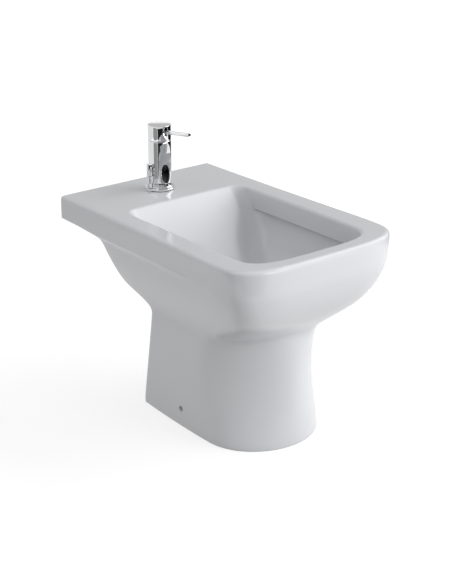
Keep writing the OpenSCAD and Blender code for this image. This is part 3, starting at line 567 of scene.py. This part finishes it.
jet = Vector((0, -math.cos(math.radians(JET_SLANT)), -math.sin(math.radians(JET_SLANT))))
jet_across = Vector((1, 0, 0))
jet_up = jet.cross(jet_across)
nozzles = []
for ring_radius, count in NOZZLE_RINGS:
    for number in range(count):
        turn = math.tau * number / count
        off = (jet_across * math.cos(turn) + jet_up * math.sin(turn)) * ring_radius
        bpy.ops.object.select_all(action="DESELECT")
        bpy.ops.mesh.primitive_cone_add(
            vertices=NOZZLE_SIDES,
            radius1=NOZZLE_FOOT_RADIUS,
            radius2=NOZZLE_TIP_RADIUS,
            depth=NOZZLE_LENGTH,
            location=BALL_MIDDLE + jet * (NOZZLE_FACE + NOZZLE_LENGTH / 2 - NOZZLE_SUNK) + off,
            rotation=jet.to_track_quat("Z", "Y").to_euler(),
        )
        nozzle = bpy.context.object
        bpy.ops.object.mode_set(mode="EDIT")
        shape = bmesh.from_edit_mesh(nozzle.data)
        bpy.ops.mesh.select_all(action="DESELECT")
        for face in shape.faces:
            face.select_set(face.normal.z > NEARLY_STRAIGHT)
        bmesh.update_edit_mesh(nozzle.data)
        bpy.ops.mesh.inset(thickness=NOZZLE_HOLE_WALL, depth=-NOZZLE_HOLE_DEPTH)
        bpy.ops.object.mode_set(mode="OBJECT")
        nozzles.append(nozzle)
outlet_nozzles = joined(nozzles, "outlet_nozzles")
bpy.ops.object.shade_smooth_by_angle(angle=math.radians(EASED_ABOVE))
outlet_nozzles.data.materials.append(rubber)
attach(outlet_nozzles, "spray")

# ---------------------------------------------------------------- mixing cartridge
# The cartridge is a pale moulded housing held down in the column by a brass ring nut. A
# collar turns on it with the cap, and a brass spindle tilts on its steel pin with the lever.
SPINDLE_EDGE = 0.0002
FINE_EDGE = 0.0001

eased_piece(
    "cartridge_body", "cartridge_housing", "root", pale_plastic, MOULDED_EDGE
)
eased_piece("cartridge_nut", "cartridge_ring_nut", "root", brass, CUT_EDGE)
eased_piece(
    "cartridge_collar", "cartridge_top", "handle", pale_plastic, MOULDED_EDGE
)
eased_piece("spindle_pin", "spindle_pin_ground", "handle", steel, FINE_EDGE)
eased_piece("cartridge_spindle", "spindle_milled", "lever", brass, SPINDLE_EDGE)

# ---------------------------------------------------------------- turning cap
# The flat-topped cap is turned from brass and plated like the column. Its front is slotted
# so that the lever can rise.
eased_piece("handle_cap", "tap_cap", "handle", chrome, PLATED_EDGE)

# ---------------------------------------------------------------- pin lever
# A plain plated rod with a flat end is pressed into a steel hub on the spindle, which a
# small screw locks from behind.
eased_piece("lever_pin", "tap_lever", "lever", chrome, PLATED_EDGE)
eased_piece("lever_hub", "lever_hub_milled", "lever", steel, CUT_EDGE)
eased_piece("lever_screw", "lever_screw_turned", "lever", steel, FINE_EDGE)

# ---------------------------------------------------------------- fixing of the tap
# Under the deck one brass stud with a rolled thread, a horseshoe plate, a rubber pad of the
# same shape and a hexagon nut pull the tap down on its gasket.
STUD_AXIS = (0, 0.214)
STUD_RADIUS = 0.004
STUD_EDGE = 0.0004
THREAD_LOW = 0.3546
THREAD_PITCH = 0.00125
THREAD_TURNS = 10
THREAD_DEPTH = 0.0005
THREAD_STEPS = 24
THREAD_WELD = 0.000001

eased_piece("tap_fixing_stud", "fixing_stud_cut", "root", brass, STUD_EDGE)
eased_piece("tap_fixing_seal", "fixing_pad_moulded", "root", rubber, MOULDED_EDGE)
eased_piece("tap_fixing_plate", "fixing_plate_pressed", "root", brass, CUT_EDGE)
eased_piece("tap_fixing_nut", "fixing_nut_milled", "root", brass, CUT_EDGE)

bpy.ops.object.select_all(action="DESELECT")
bpy.ops.mesh.primitive_circle_add(
    vertices=3, radius=THREAD_DEPTH, fill_type="NOTHING",
    location=(STUD_RADIUS, 0, 0), rotation=(math.radians(90), 0, 0),
)
thread = bpy.context.object
thread.name = "fixing_stud_thread"
bpy.ops.object.transform_apply(location=True, rotation=True, scale=True)
winding = thread.modifiers.new("winding", "SCREW")
winding.axis = "Z"
winding.angle = math.tau * THREAD_TURNS
winding.screw_offset = THREAD_PITCH * THREAD_TURNS
winding.steps = winding.render_steps = THREAD_STEPS * THREAD_TURNS
bpy.ops.object.modifier_apply(modifier="winding")
bpy.ops.object.mode_set(mode="EDIT")
bpy.ops.mesh.select_all(action="DESELECT")
bpy.ops.mesh.select_non_manifold()
bpy.ops.mesh.fill_holes(sides=0)
bpy.ops.mesh.select_all(action="SELECT")
bpy.ops.mesh.remove_doubles(threshold=THREAD_WELD)
bpy.ops.mesh.normals_make_consistent(inside=False)
bpy.ops.object.mode_set(mode="OBJECT")
thread.location = (*STUD_AXIS, THREAD_LOW)
bpy.ops.object.transform_apply(location=True, rotation=True, scale=True)
bpy.ops.object.shade_smooth_by_angle(angle=math.radians(EASED_ABOVE))
thread.data.materials.append(brass)
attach(thread, "root")

# ---------------------------------------------------------------- lift rod
# The plated rod with its turned knob stands just left of the column and runs in a pale
# moulded bush through the ear of the tap's foot ring and the deck.
eased_piece(
    "lift_rod_bush", "lift_bush_moulded", "root", pale_plastic, MOULDED_EDGE
)
eased_piece("lift_knob", "lift_knob_turned", "lift", chrome, PLATED_EDGE)
eased_piece("lift_rod", "lift_rod_drawn", "lift", chrome, PLATED_EDGE)

# ---------------------------------------------------------------- linkage
# Two small milled steel clamps with thumb screws join the lift rod, the link rod and the
# pivot rod, and are slid along the rods to set the height of the plug.
eased_piece("upper_clamp", "upper_clamp_milled", "lift", steel, CUT_EDGE)
eased_piece("upper_clamp_screws", "upper_clamp_thumb_screws", "lift", steel, CUT_EDGE)
eased_piece("link_rod", "link_rod_bent", "lift", steel, CUT_EDGE)
eased_piece("lower_clamp", "lower_clamp_milled", "pivot", steel, CUT_EDGE)
eased_piece("lower_clamp_screw", "lower_clamp_thumb_screw", "pivot", steel, CUT_EDGE)
